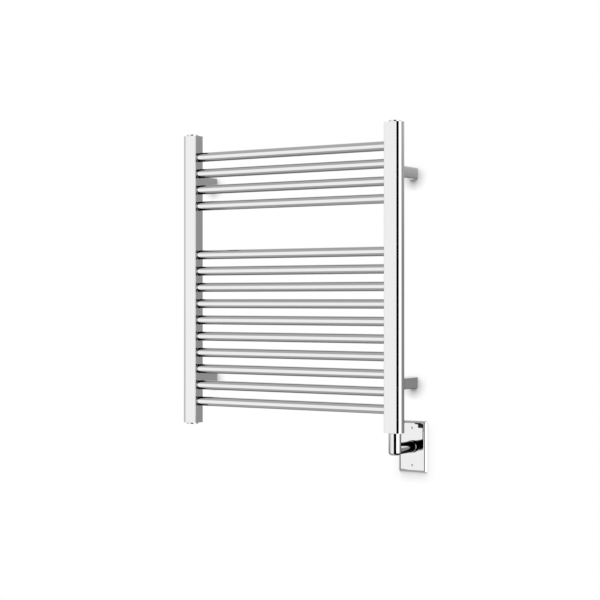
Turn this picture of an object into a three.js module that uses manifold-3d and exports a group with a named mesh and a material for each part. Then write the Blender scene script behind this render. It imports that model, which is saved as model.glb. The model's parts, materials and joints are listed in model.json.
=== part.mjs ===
// Wall-mounted towel warmer: two D-section uprights, fourteen rungs, four telescopic wall
// brackets, and an electric element whose lead runs through an elbow into a wall plate.
//
// Millimetres. +X to the right as seen from the room, +Y into the wall, +Z up.
// The wall is the plane Y = 0 and the origin is midway between the four wall fixings.

import * as THREE from 'three';
import { mergeVertices } from 'three/addons/utils/BufferGeometryUtils.js';
import Module from 'manifold-3d';

const wasm = await Module();
wasm.setup();

// ---- driving dimensions ------------------------------------------------------------

const fitGap = 0.3;                 // air between two pieces that meet
const roundSides = 24;              // facets round a turned piece
const rungSides = 20;               // facets round a rung and its hole

const rungPitch = 38.5;
const rungDiameter = 21.5;
const rungWall = 1.5;
const rungEntry = 3;                // how far a rung's end reaches into the upright
const upperRungs = 4;
const lowerRungs = 10;
const wideGapPitches = 3;           // the towel gap between the two groups of rungs

const clearWidth = 508;             // between the uprights' inner faces
const rungAxisToWall = 86;

const uprightWidth = 40;            // along X
const uprightDepth = 30;            // along Y
const uprightWall = 2;
const uprightHeight = 680;
const uprightCorner = 1.5;          // on the two edges beside the rungs
const uprightRound = 12;            // on the two outer edges

const threadRadius = 10.5;          // tapped hole in the end closures
const closureThickness = 5;
const plugDiameter = 27.5;
const plugHeight = 2.9;
const plugChamfer = 0.5;
const plugThreadLength = 12;
const threadChamfer = 1;
const ventBore = 3.2;
const slotWidth = 1;
const slotDepth = 1.2;
const plugHexAcross = 12;
const plugHexDepth = 3.6;
const ringMinorRadius = 0.7;        // O-ring section
const ringMajorRadius = 12;

const bracketSpan = 466;            // between the upper and the lower fixings
const armWidth = 22;
const armHeight = 26;
const armWall = 2;
const armCorner = 2;
const armWallClearance = 0.8;       // the sleeve stops just short of the wall
const bossLength = 40;
const bossScrewRadius = 2.75;
const bossHeadRadius = 5.5;
const bossHeadDepth = 4;
const adjustTravel = 12;            // how far the rack pulls out along the wall bosses
const grubRadius = 2.3;
const grubFromWall = 20;
const grubProud = 0.2;
const grubHexAcross = 2.5;
const grubHexDepth = 1.8;
const grubGrooveDepth = 2.5;

const outletBelowUpright = 36;      // from the upright's end down to the outlet's axis
const housingDiameter = 27.5;
const housingWall = 1.5;
const housingFloorBelowAxis = 12.6;
const housingFloorRound = 7;        // on the edge of the housing's floor
const housingPortRadius = 10;
const housingScrewRadius = 2;
const housingScrewHex = 2;
const housingScrewHexDepth = 1.2;
const conduitDiameter = 24.8;
const conduitWall = 1.2;
const collarDiameter = 28;
const collarLength = 7.5;

const plateWidth = 69.85;           // a single-gang cover
const plateHeight = 114.3;
const plateDepth = 6.2;
const plateRim = 0.4;
const plateSlope = (50 * Math.PI) / 180;   // of its four sides, measured from its face
const plateRound = 5.7;             // where each side turns into the face
const plateMetal = 1.6;
const plateReturn = 2.2;            // from the plate's edge to the hollow behind it
const plateScrewSpacing = 83.34;
const plateScrewRadius = 1.7;
const plateScrewHeadRadius = 2.4;
const plateScrewHeadHeight = 1;
const plateScrewSeat = 0.4;
const plateScrewSlot = 0.7;

const rodRadius = 5;
const rodLength = 460;
const headFlangeRadius = 11.9;
const headFlangeHeight = 10;
const washerThickness = 1;
const leadRadius = 2.5;
const leadBend = 20;

// ---- derived places ----------------------------------------------------------------

const uprightX = clearWidth / 2 + uprightWidth / 2;
const rackY = -rungAxisToWall;
const uprightTop = uprightHeight / 2;
const uprightBottom = -uprightTop;
const outletZ = uprightBottom - outletBelowUpright;
const rungRadius = rungDiameter / 2;
const plugCrown = fitGap + plugHeight;
const sides = [{ name: 'left', sign: -1 }, { name: 'right', sign: 1 }];
const levels = [{ name: 'upper', sign: 1 }, { name: 'lower', sign: -1 }];

const rungHeights = [
  ...Array.from({ length: upperRungs }, (_, i) => (lowerRungs - 2.5 - i) * rungPitch),
  ...Array.from({ length: lowerRungs }, (_, i) => (upperRungs - 2.5 - i) * rungPitch),
];
const checkedGap = rungHeights[upperRungs - 1] - rungHeights[upperRungs];
if (Math.abs(checkedGap - wideGapPitches * rungPitch) > 1e-6) {
  throw new Error('the two groups of rungs do not leave the stated gap');
}

// ---- solids ------------------------------------------------------------------------

function toSolid(geometry) {
  const bare = geometry.clone();
  bare.deleteAttribute('normal');
  bare.deleteAttribute('uv');
  const merged = mergeVertices(bare, 1e-4);
  const vertProperties = new Float32Array(merged.attributes.position.array);
  const triVerts = new Uint32Array(merged.index.array);
  return new wasm.Manifold(new wasm.Mesh({ numProp: 3, vertProperties, triVerts }));
}

function toGeometry(solid) {
  const mesh = solid.getMesh();
  const geometry = new THREE.BufferGeometry();
  geometry.setAttribute('position', new THREE.BufferAttribute(mesh.vertProperties, 3));
  geometry.setIndex(new THREE.BufferAttribute(mesh.triVerts, 1));
  geometry.computeVertexNormals();
  return geometry;
}

function cut(geometry, cutters) {
  const solid = cutters.reduce((left, cutter) => left.subtract(toSolid(cutter)), toSolid(geometry));
  return toGeometry(solid);
}

// A prism of a shape, from z = low to z = high.
function prism(shape, low, high, curveSegments = 8) {
  const settings = { depth: high - low, bevelEnabled: false, curveSegments };
  return new THREE.ExtrudeGeometry(shape, settings).translate(0, 0, low);
}

// A body turned about Z from [radius, z] points that run up its outside.
function turned(profile, segments = roundSides) {
  const points = profile.map(([radius, z]) => new THREE.Vector2(radius, z));
  return new THREE.LatheGeometry(points, segments).rotateX(Math.PI / 2);
}

// A turned body whose profile closes on itself, so that it has a hole along its axis.
function turnedRing(profile, segments = roundSides) {
  return turned([...profile, profile[0]], segments);
}

function rod(radius, low, high, segments = roundSides) {
  return new THREE.CylinderGeometry(radius, radius, high - low, segments)
    .rotateX(Math.PI / 2)
    .translate(0, 0, (low + high) / 2);
}

function hexRod(acrossFlats, low, high) {
  return rod(acrossFlats / Math.sqrt(3), low, high, 6);
}

function tube(outer, inner, low, high, segments = roundSides) {
  return turnedRing([[inner, low], [outer, low], [outer, high], [inner, high]], segments);
}

function roundedRectangle(width, height, radius, Outline = THREE.Shape) {
  const x = width / 2 - radius;
  const y = height / 2 - radius;
  const outline = new Outline();
  outline.absarc(x, y, radius, 0, Math.PI / 2);
  outline.absarc(-x, y, radius, Math.PI / 2, Math.PI);
  outline.absarc(-x, -y, radius, Math.PI, 1.5 * Math.PI);
  outline.absarc(x, -y, radius, 1.5 * Math.PI, 2 * Math.PI);
  outline.closePath();
  return outline;
}

// ---- frame: uprights, closures and rungs ---------------------------------------------

// The upright's D section about its own middle: a deep round on each outer edge, towards +X,
// and a flat face with small corners towards -X, drawn in from the outside by `inset`.
function dOutline(inset, Outline = THREE.Shape) {
  const x = uprightWidth / 2 - inset;
  const y = uprightDepth / 2 - inset;
  const round = uprightRound - inset;
  const corner = Math.max(uprightCorner - inset, 0.4);
  const outline = new Outline();
  outline.absarc(x - round, -y + round, round, -Math.PI / 2, 0);
  outline.absarc(x - round, y - round, round, 0, Math.PI / 2);
  outline.absarc(-x + corner, y - corner, corner, Math.PI / 2, Math.PI);
  outline.absarc(-x + corner, -y + corner, corner, Math.PI, 1.5 * Math.PI);
  outline.closePath();
  return outline;
}

function uprightGeometry() {
  const section = dOutline(0);
  section.holes.push(dOutline(uprightWall, THREE.Path));
  const shell = prism(section, uprightBottom, uprightTop, 6);
  const holeRadius = rungRadius + fitGap;
  const holes = rungHeights.map((z) => new THREE
    .CylinderGeometry(holeRadius, holeRadius, 4 * uprightWall, rungSides)
    .rotateZ(Math.PI / 2)
    .translate(-uprightWidth / 2, 0, z));
  return cut(shell, holes);
}

// The D-shaped plate welded into an upright's end, with the tapped hole for a plug.
function closureGeometry() {
  const plate = prism(dOutline(uprightWall + fitGap), -closureThickness, 0, 6);
  return cut(plate, [rod(threadRadius, -closureThickness - 1, 1)]);
}

function rungGeometry() {
  const halfLength = clearWidth / 2 + rungEntry;
  const shell = tube(rungRadius, rungRadius - rungWall, -halfLength, halfLength, rungSides);
  return shell.rotateY(Math.PI / 2);
}

// ---- plugs, seals and air vent ---------------------------------------------------------

// The plug's outside, from the end of its thread at -plugThreadLength up to its crown. Its
// head has a groove below for the O-ring, and z = 0 is the upright's end.
function plugProfile(boreRadius) {
  const radius = plugDiameter / 2;
  const bead = ringMinorRadius + fitGap;
  const grooveRoof = fitGap + 2 * ringMinorRadius + fitGap;
  return [
    [boreRadius, -plugThreadLength],
    [threadRadius - fitGap - threadChamfer, -plugThreadLength],
    [threadRadius - fitGap, -plugThreadLength + threadChamfer],
    [threadRadius - fitGap, grooveRoof],
    [ringMajorRadius + bead, grooveRoof],
    [ringMajorRadius + bead, fitGap],
    [radius, fitGap],
    [radius, plugCrown - plugChamfer],
    [radius - plugChamfer, plugCrown],
    [boreRadius, plugCrown],
  ];
}

function blindPlugGeometry() {
  return cut(turned(plugProfile(0)), [hexRod(plugHexAcross, plugCrown - plugHexDepth, plugCrown + 1)]);
}

function ventPlugGeometry() {
  return turnedRing(plugProfile(ventBore));
}

function ventScrewGeometry() {
  const radius = ventBore - fitGap;
  const top = plugCrown - plugChamfer;
  const body = turned([
    [0, -plugThreadLength],
    [radius - threadChamfer, -plugThreadLength],
    [radius, -plugThreadLength + threadChamfer],
    [radius, top],
    [0, top],
  ], 16);
  const slot = new THREE.BoxGeometry(2 * ventBore, slotWidth, 2 * slotDepth).translate(0, 0, top);
  return cut(body, [slot]);
}

function sealRingGeometry() {
  return new THREE.TorusGeometry(ringMajorRadius, ringMinorRadius, 6, roundSides)
    .translate(0, 0, fitGap + ringMinorRadius);
}

// ---- telescopic brackets ---------------------------------------------------------------

// Everything on a bracket is drawn along its own +Z, which points out of the wall.
function outOfWall(geometry) {
  return geometry.rotateX(Math.PI / 2);
}

// Cuts and pieces that stand on a bracket's underside, drawn along +Z from the arm's axis.
function fromUnderside(geometry) {
  return geometry.rotateX(Math.PI).translate(0, -grubFromWall, 0);
}

function armGeometry() {
  const section = roundedRectangle(armWidth, armHeight, armCorner);
  section.holes.push(roundedRectangle(armWidth - 2 * armWall, armHeight - 2 * armWall, 0.5, THREE.Path));
  const reach = rungAxisToWall - uprightDepth / 2 - fitGap;
  const sleeve = outOfWall(prism(section, armWallClearance, reach, 2));
  const grubHole = fromUnderside(rod(grubRadius + fitGap, armHeight / 4, armHeight, 16));
  return cut(sleeve, [grubHole]);
}

function bossGeometry() {
  const width = armWidth - 2 * armWall - 2 * fitGap;
  const height = armHeight - 2 * armWall - 2 * fitGap;
  const block = outOfWall(new THREE.BoxGeometry(width, height, bossLength).translate(0, 0, bossLength / 2));
  const screwHole = outOfWall(rod(bossScrewRadius, -1, bossLength + 1, 16));
  const headHole = outOfWall(rod(bossHeadRadius, bossLength - bossHeadDepth, bossLength + 1, 16));
  const grooveWidth = 2 * (grubRadius + fitGap);
  const groove = new THREE.BoxGeometry(grooveWidth, adjustTravel + grooveWidth, 2 * grubGrooveDepth)
    .translate(0, -grubFromWall - adjustTravel / 2, -height / 2);
  return cut(block, [screwHole, headHole, groove]);
}

function grubGeometry() {
  const tip = armHeight / 2 - armWall - fitGap - grubGrooveDepth + fitGap;
  const top = armHeight / 2 + grubProud;
  const screw = rod(grubRadius, tip, top, 16);
  return fromUnderside(cut(screw, [hexRod(grubHexAcross, top - grubHexDepth, top + 1)]));
}

// ---- element, outlet housing, conduit and wall plate --------------------------------------

// Drawn about the right upright's axis, with z = 0 at the upright's lower end.
function headFlangeTop() {
  return -(fitGap + washerThickness + fitGap);
}

function elementHeadGeometry() {
  const flangeTop = headFlangeTop();
  const threadR = threadRadius - fitGap;
  return turned([
    [0, flangeTop - headFlangeHeight],
    [headFlangeRadius, flangeTop - headFlangeHeight],
    [headFlangeRadius, flangeTop],
    [threadR, flangeTop],
    [threadR, plugThreadLength - 1],
    [threadR - 1, plugThreadLength],
    [0, plugThreadLength],
  ]);
}

function elementRodGeometry() {
  const low = plugThreadLength + fitGap;
  const tip = new THREE.Path().absarc(0, low + rodLength, rodRadius, 0, Math.PI / 2).getPoints(4);
  return turned([[0, low], [rodRadius, low], ...tip.map((p) => [Math.max(p.x, 0), p.y])], 16);
}

function headWasherGeometry() {
  return tube(headFlangeRadius, threadRadius + 0.1, -fitGap - washerThickness, -fitGap);
}

// The outside of a cup about Z, from the middle of its floor out and up to its side.
function cupProfile(radius, floor, round, steps = 5) {
  const corner = Array.from({ length: steps + 1 }, (_, i) => {
    const angle = (i / steps) * (Math.PI / 2);
    return [radius - round + round * Math.sin(angle), floor + round - round * Math.cos(angle)];
  });
  return [[0, floor], ...corner];
}

function housingGeometry() {
  const outer = housingDiameter / 2;
  const inner = outer - housingWall;
  const floor = -outletBelowUpright - housingFloorBelowAxis;
  const outside = cupProfile(outer, floor, housingFloorRound);
  const inside = cupProfile(inner, floor + housingWall, housingFloorRound - housingWall).reverse();
  const shell = turned([...outside, [outer, -fitGap], [inner, -fitGap], ...inside]);
  const port = rod(housingPortRadius, 0, 2 * outer)
    .rotateX(-Math.PI / 2)
    .translate(0, 0, -outletBelowUpright);
  const screwHole = rod(housingScrewRadius + fitGap, headFlangeRadius / 2, 2 * outer, 16);
  return cut(shell, [port, housingScrewPlace(screwHole)]);
}

// The small screw at the back of the housing that holds it on the element's head.
function housingScrewPlace(geometry) {
  const middle = headFlangeTop() - headFlangeHeight / 2;
  return geometry.rotateX(-Math.PI / 2).translate(0, 0, middle);
}

function housingScrewGeometry() {
  const top = housingDiameter / 2 + grubProud;
  const screw = rod(housingScrewRadius, headFlangeRadius + fitGap, top, 16);
  return housingScrewPlace(cut(screw, [hexRod(housingScrewHex, top - housingScrewHexDepth, top + 1)]));
}

// The pipe from the wall, its far end shaped to the back of the housing.
function conduitGeometry() {
  const radius = conduitDiameter / 2;
  const pipe = outOfWall(tube(radius, radius - conduitWall, armWallClearance, rungAxisToWall));
  const reach = housingDiameter / 2 + fitGap;
  const floor = -housingFloorBelowAxis - fitGap;
  const top = conduitDiameter;
  const housing = turned([...cupProfile(reach, floor, housingFloorRound), [reach, top], [0, top]]);
  return cut(pipe, [housing.translate(0, -rungAxisToWall, 0)]);
}

function leadGeometry() {
  const top = headFlangeTop() - headFlangeHeight - fitGap;
  const route = new THREE.CurvePath();
  const bendStart = new THREE.Vector3(0, 0, -outletBelowUpright + leadBend);
  const bendMiddle = new THREE.Vector3(0, 0, -outletBelowUpright);
  const bendEnd = new THREE.Vector3(0, leadBend, -outletBelowUpright);
  const end = new THREE.Vector3(0, rungAxisToWall - armWallClearance - 0.2, -outletBelowUpright);
  route.add(new THREE.LineCurve3(new THREE.Vector3(0, 0, top), bendStart));
  route.add(new THREE.QuadraticBezierCurve3(bendStart, bendMiddle, bendEnd));
  route.add(new THREE.LineCurve3(bendEnd, end));
  const section = new THREE.Shape().absarc(0, 0, leadRadius, 0, 2 * Math.PI);
  return new THREE.ExtrudeGeometry(section, { steps: 18, curveSegments: 4, extrudePath: route });
}

function collarGeometry() {
  const low = plateDepth + fitGap;
  return outOfWall(tube(collarDiameter / 2, conduitDiameter / 2 + fitGap, low, low + collarLength));
}

// A rectangular block whose sides are drawn in by a different amount at each height, from
// [drawn in, height] pairs that run from its back to its face.
function steppedBlock(width, height, steps) {
  const last = steps.length - 1;
  const block = new THREE.BoxGeometry(width, height, last, 1, 1, last);
  const position = block.attributes.position;
  for (let i = 0; i < position.count; i += 1) {
    const [drawnIn, level] = steps[Math.round(position.getZ(i) + last / 2)];
    position.setX(i, position.getX(i) - Math.sign(position.getX(i)) * drawnIn);
    position.setY(i, position.getY(i) - Math.sign(position.getY(i)) * drawnIn);
    position.setZ(i, level);
  }
  return block;
}

// The plate's side in section: a rim, a slope, and a round that turns into the face.
function plateSteps(steps = 4) {
  const roundStart = plateDepth - plateRound * (1 - Math.cos(plateSlope));
  const slopeRun = (roundStart - plateRim) / Math.tan(plateSlope);
  const face = slopeRun + plateRound * Math.sin(plateSlope);
  const round = Array.from({ length: steps + 1 }, (_, i) => {
    const angle = plateSlope * (1 - i / steps);
    return [face - plateRound * Math.sin(angle), plateDepth - plateRound * (1 - Math.cos(angle))];
  });
  return [[0, 0], [0, plateRim], ...round];
}

function plateGeometry() {
  const outside = steppedBlock(plateWidth, plateHeight, plateSteps());
  const hollowDepth = plateDepth - plateMetal;
  const hollowRun = (hollowDepth - plateRim) / Math.tan(plateSlope);
  const hollow = steppedBlock(plateWidth - 2 * plateReturn, plateHeight - 2 * plateReturn, [
    [0, -1],
    [0, plateRim],
    [hollowRun, hollowDepth],
  ]);
  const port = rod(conduitDiameter / 2 + fitGap, -2, plateDepth + 1);
  const screwHoles = levels.map(({ sign }) => rod(plateScrewRadius + fitGap, -2, plateDepth + 1, 16)
    .translate(0, (sign * plateScrewSpacing) / 2, 0));
  return outOfWall(cut(outside, [hollow, port, ...screwHoles]));
}

function plateScrewGeometry() {
  const seat = plateDepth + fitGap;
  const head = seat + plateScrewHeadHeight;
  const body = turned([
    [0, fitGap],
    [plateScrewRadius, fitGap],
    [plateScrewRadius, seat],
    [plateScrewHeadRadius, seat],
    [plateScrewHeadRadius, seat + plateScrewSeat],
    [0.7 * plateScrewHeadRadius, head],
    [0, head],
  ], 16);
  const slot = new THREE.BoxGeometry(3 * plateScrewHeadRadius, plateScrewSlot, 1).translate(0, 0, head);
  return outOfWall(cut(body, [slot]));
}

// ---- materials and assembly -----------------------------------------------------------

const finishes = {
  chrome: { color: 0xe4e5e7, roughness: 0.05, metalness: 1 },
  steel: { color: 0xa9a8a4, roughness: 0.35, metalness: 1 },
  brass: { color: 0xc2a25a, roughness: 0.3, metalness: 1 },
  zinc: { color: 0xb9bcc0, roughness: 0.4, metalness: 1 },
  rubber: { color: 0x1c1c1d, roughness: 0.8, metalness: 0 },
  cable: { color: 0xe2dfd8, roughness: 0.55, metalness: 0 },
};

const rack = new THREE.Group();

function addPiece(parent, name, geometry, finish, position = [0, 0, 0], turnAboutZ = 0) {
  const mesh = new THREE.Mesh(geometry, new THREE.MeshStandardMaterial(finishes[finish]));
  mesh.name = name;
  mesh.position.set(...position);
  mesh.rotation.z = turnAboutZ;
  parent.add(mesh);
}

function groupAt(x, y, z, tilt = 0) {
  const group = new THREE.Group();
  group.position.set(x, y, z);
  group.rotation.x = tilt;
  rack.add(group);
  return group;
}

function addFrame() {
  for (const { name, sign } of sides) {
    const turn = sign < 0 ? Math.PI : 0;
    const x = sign * uprightX;
    addPiece(rack, `${name}_upright`, uprightGeometry(), 'chrome', [x, rackY, 0], turn);
    addPiece(rack, `${name}_top_closure`, closureGeometry(), 'chrome', [x, rackY, uprightTop], turn);
    const bottomPlate = closureGeometry().translate(0, 0, closureThickness);
    addPiece(rack, `${name}_bottom_closure`, bottomPlate, 'chrome', [x, rackY, uprightBottom], turn);
  }
  rungHeights.forEach((z, index) => {
    const number = String(index + 1).padStart(2, '0');
    addPiece(rack, `rung_${number}`, rungGeometry(), 'chrome', [0, rackY, z]);
  });
}

function addPlugs() {
  const topLeft = groupAt(-uprightX, rackY, uprightTop);
  addPiece(topLeft, 'air_vent_plug', ventPlugGeometry(), 'chrome');
  addPiece(topLeft, 'air_vent_screw', ventScrewGeometry(), 'zinc');
  addPiece(topLeft, 'air_vent_seal', sealRingGeometry(), 'rubber');
  const topRight = groupAt(uprightX, rackY, uprightTop);
  addPiece(topRight, 'top_right_plug', blindPlugGeometry(), 'chrome');
  addPiece(topRight, 'top_right_seal', sealRingGeometry(), 'rubber');
  const bottomLeft = groupAt(-uprightX, rackY, uprightBottom, Math.PI);
  addPiece(bottomLeft, 'bottom_left_plug', blindPlugGeometry(), 'chrome');
  addPiece(bottomLeft, 'bottom_left_seal', sealRingGeometry(), 'rubber');
}

function addBrackets() {
  for (const level of levels) {
    for (const side of sides) {
      const place = groupAt(side.sign * uprightX, 0, (level.sign * bracketSpan) / 2);
      const corner = `${level.name}_${side.name}`;
      addPiece(place, `${corner}_bracket_arm`, armGeometry(), 'chrome');
      addPiece(place, `${corner}_wall_boss`, bossGeometry(), 'zinc');
      addPiece(place, `${corner}_grub_screw`, grubGeometry(), 'steel');
    }
  }
}

function addElectrics() {
  const below = groupAt(uprightX, rackY, uprightBottom);
  addPiece(below, 'element_head', elementHeadGeometry(), 'brass');
  addPiece(below, 'element_rod', elementRodGeometry(), 'steel');
  addPiece(below, 'element_washer', headWasherGeometry(), 'rubber');
  addPiece(below, 'outlet_housing', housingGeometry(), 'chrome');
  addPiece(below, 'outlet_housing_screw', housingScrewGeometry(), 'steel');
  addPiece(below, 'supply_lead', leadGeometry(), 'cable');
  const outlet = groupAt(uprightX, 0, outletZ);
  addPiece(outlet, 'conduit_pipe', conduitGeometry(), 'chrome');
  addPiece(outlet, 'plate_collar', collarGeometry(), 'chrome');
  addPiece(outlet, 'wall_plate', plateGeometry(), 'chrome');
  for (const { name, sign } of levels) {
    const place = [0, 0, (sign * plateScrewSpacing) / 2];
    addPiece(outlet, `${name}_plate_screw`, plateScrewGeometry(), 'chrome', place);
  }
}

addFrame();
addPlugs();
addBrackets();
addElectrics();

export default rack;
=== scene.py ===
# %% [markdown]
# # A chrome ladder towel warmer
# The rack hangs on a wall: two D-section uprights, fourteen round rungs, four telescopic
# brackets, three plugs and an electric outlet that turns back into a wall cover. The design,
# its sizes and its joints come from the frame. This lesson makes the fine surfaces round it:
# round stretches that are really round, softened edges, weld fillets and a bright plating.

# %% The frame
import json
import math

import bmesh
import bpy
from mathutils import Matrix, Vector


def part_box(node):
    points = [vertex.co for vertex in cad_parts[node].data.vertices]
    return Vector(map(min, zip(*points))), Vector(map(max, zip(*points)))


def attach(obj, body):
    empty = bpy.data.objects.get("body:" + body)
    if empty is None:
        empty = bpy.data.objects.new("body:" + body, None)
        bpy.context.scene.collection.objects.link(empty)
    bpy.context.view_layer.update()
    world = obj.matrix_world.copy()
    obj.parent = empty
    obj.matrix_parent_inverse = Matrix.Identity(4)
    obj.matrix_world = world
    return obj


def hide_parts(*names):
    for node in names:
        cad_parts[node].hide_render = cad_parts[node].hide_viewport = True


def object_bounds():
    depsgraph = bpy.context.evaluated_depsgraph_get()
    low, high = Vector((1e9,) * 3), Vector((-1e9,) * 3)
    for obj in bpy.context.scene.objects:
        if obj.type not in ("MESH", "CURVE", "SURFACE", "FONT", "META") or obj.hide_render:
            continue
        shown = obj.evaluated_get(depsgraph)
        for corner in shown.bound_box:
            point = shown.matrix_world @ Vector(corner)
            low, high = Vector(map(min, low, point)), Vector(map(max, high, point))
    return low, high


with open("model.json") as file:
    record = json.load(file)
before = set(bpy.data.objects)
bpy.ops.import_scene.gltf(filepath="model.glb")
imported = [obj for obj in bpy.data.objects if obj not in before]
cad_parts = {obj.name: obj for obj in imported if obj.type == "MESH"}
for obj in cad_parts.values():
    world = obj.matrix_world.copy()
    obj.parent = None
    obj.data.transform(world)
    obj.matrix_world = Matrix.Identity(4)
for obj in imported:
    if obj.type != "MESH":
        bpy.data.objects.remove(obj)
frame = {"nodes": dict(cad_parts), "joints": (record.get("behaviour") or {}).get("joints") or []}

cad_box = [list(corner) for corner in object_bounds()]
MM = 0.001

# %% [markdown]
# The camera looks at the rack from its right, level, from about three and a half metres. A
# longish lens keeps the rack's lines nearly parallel. The camera is made first, because
# everything else is judged through it.

# %% Camera
CAMERA_PLACE = Vector((1.8451, -2.9659, -0.0493))
CAMERA_TURN = math.radians(32.24)
CAMERA_LENS = 89.88
SENSOR_WIDTH = 36.0


def make_camera():
    camera = bpy.data.objects.new("camera", bpy.data.cameras.new("camera"))
    camera.data.lens = CAMERA_LENS
    camera.data.sensor_width = SENSOR_WIDTH
    camera.location = CAMERA_PLACE
    camera.rotation_euler = (math.radians(90), 0, CAMERA_TURN)
    bpy.context.scene.collection.objects.link(camera)
    bpy.context.scene.camera = camera
    return camera


make_camera()
print("camera lens", CAMERA_LENS, "mm")

# %% [markdown]
# Mirror-bright plating has no colour of its own to speak of: what shows is the room. So the
# studio is the most important material here. It is drawn on the world by direction, as panels
# on a grey dome: one wide soft panel ahead of the rack on the left, one bright panel on the
# right, and a dark gap between them. Smaller ones light and shade the sides and what is behind
# the rack. A panel is a soft-edged rectangle in azimuth and elevation, so one node group makes
# every panel.

# %% Node helpers
def new_group(name, inputs, outputs):
    """An empty shader group with float or colour sockets, and its two end nodes."""
    group = bpy.data.node_groups.new(name, "ShaderNodeTree")
    for socket, kind, default in inputs:
        made = group.interface.new_socket(socket, in_out="INPUT", socket_type=kind)
        made.default_value = default
    for socket, kind in outputs:
        group.interface.new_socket(socket, in_out="OUTPUT", socket_type=kind)
    return group, group.nodes.new("NodeGroupInput"), group.nodes.new("NodeGroupOutput")


def join(tree, source, target):
    """Joins a socket or a plain value to an input socket."""
    if isinstance(source, bpy.types.NodeSocket):
        tree.links.new(source, target)
    else:
        target.default_value = source


def math_node(tree, operation, *values):
    node = tree.nodes.new("ShaderNodeMath")
    node.operation = operation
    for socket, value in zip(node.inputs, values):
        join(tree, value, socket)
    return node.outputs[0]


def fade(tree, value, start, end):
    """1 below start, 0 above end, smooth in between."""
    node = tree.nodes.new("ShaderNodeMapRange")
    node.interpolation_type = "SMOOTHSTEP"
    join(tree, value, node.inputs["Value"])
    join(tree, start, node.inputs["From Min"])
    join(tree, end, node.inputs["From Max"])
    node.inputs["To Min"].default_value = 1.0
    node.inputs["To Max"].default_value = 0.0
    return node.outputs["Result"]


FLOAT, COLOUR, VECTOR = "NodeSocketFloat", "NodeSocketColor", "NodeSocketVector"


print("socket kinds:", FLOAT, COLOUR, VECTOR)

# %% [markdown]
# A panel's mask is the product of two soft bands, one in azimuth and one in elevation. Angles
# are wrapped to half a turn either way, so that a panel may lie across the back.

# %% A studio panel, as a group
def make_panel_group():
    group, start, end = new_group(
        "studio_panel",
        [("Azimuth", FLOAT, 0), ("Elevation", FLOAT, 0), ("Centre azimuth", FLOAT, 0),
         ("Half width", FLOAT, 30), ("Centre elevation", FLOAT, 0), ("Half height", FLOAT, 30),
         ("Softness", FLOAT, 2)],
        [("Mask", FLOAT)],
    )
    inputs = start.outputs
    sides = []
    for angle, centre, half in (("Azimuth", "Centre azimuth", "Half width"),
                                ("Elevation", "Centre elevation", "Half height")):
        away = math_node(group, "SUBTRACT", inputs[angle], inputs[centre])
        wrapped = math_node(group, "WRAP", away, 180.0, -180.0)
        distance = math_node(group, "ABSOLUTE", wrapped)
        inner = math_node(group, "SUBTRACT", inputs[half], inputs["Softness"])
        outer = math_node(group, "ADD", inputs[half], inputs["Softness"])
        sides.append(fade(group, distance, inner, outer))
    join(group, math_node(group, "MULTIPLY", *sides), end.inputs["Mask"])
    return group


PANEL = make_panel_group()
print("panel group:", PANEL.name)

# %% [markdown]
# The dome is grey, a little lighter above the horizon than below. Each panel replaces what is
# under it with its own brightness where its mask is one. The levels are tuned to the bands
# that the rack should show, and are not those of a real room.

# %% The studio
# name: (centre azimuth, half width, centre elevation, half height, softness, brightness),
# in degrees, with azimuth 0 towards the room and 90 to the right. Later ones cover earlier ones.
PANELS = {
    "left_wing": (-77, 34, 8, 18, 3, 0.62),
    "left_far_high": (-131, 28, 4, 10, 2, 0.80),
    "left_far_low": (-122, 36, -12.4, 7, 0.6, 0.10),
    "behind_right": (132, 26, 0, 26, 3, 0.305),
    "behind_middle": (163, 15, -9, 13, 3, 0.26),
    "behind_high": (186, 38, 39, 31, 7, 0.85),
    "behind_low": (183, 18, -32, 29, 6, 0.06),
    "behind_left_high": (-126, 20, 22, 22, 5, 0.62),
    "behind_left_low": (-128, 20, -22, 20, 5, 0.05),
    "right_shade_high": (82, 74, 58, 34, 4, 0.012),
    "right_shade_low": (82, 74, -58, 34, 4, 0.012),
    "front_gap": (31, 26.5, 0, 74, 1.2, 0.002),
    "right_panel": (86.5, 30, 0, 26, 2, 1.5),
    "front_panel": (-21, 26, -6, 31, 3, 0.985),
}
DOME_HIGH = 0.455
DOME_LOW = 0.40
HORIZON_FADE = 12.0


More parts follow.
